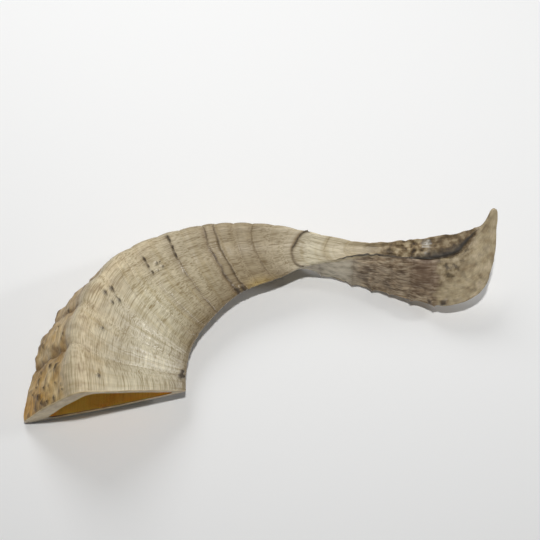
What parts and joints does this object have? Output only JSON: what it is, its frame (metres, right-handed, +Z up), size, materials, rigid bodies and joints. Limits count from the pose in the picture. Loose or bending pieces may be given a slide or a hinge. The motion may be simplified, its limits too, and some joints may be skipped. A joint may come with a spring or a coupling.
{
  "type": "sheep horn",
  "caption": "Polished sheep horn lying on its side: curved three-keeled sheath with growth rings, a twisted blade-like tip and a hollow sawn base.",
  "frame": {"origin": "middle of the horn's footprint, on the surface that it lies on", "axes": "+X from the sawn base towards the tip, +Y from the sawn base's mouth inwards, +Z up as the horn lies"},
  "size_m": [0.2062, 0.09, 0.0406],
  "materials": {
    "polished_horn": "polished keratin, greyish beige with fine fibres, darker growth rings and an amber cavity"
  },
  "bodies": {
    "root": {"horn": "polished_horn"}
  },
  "joints": []
}
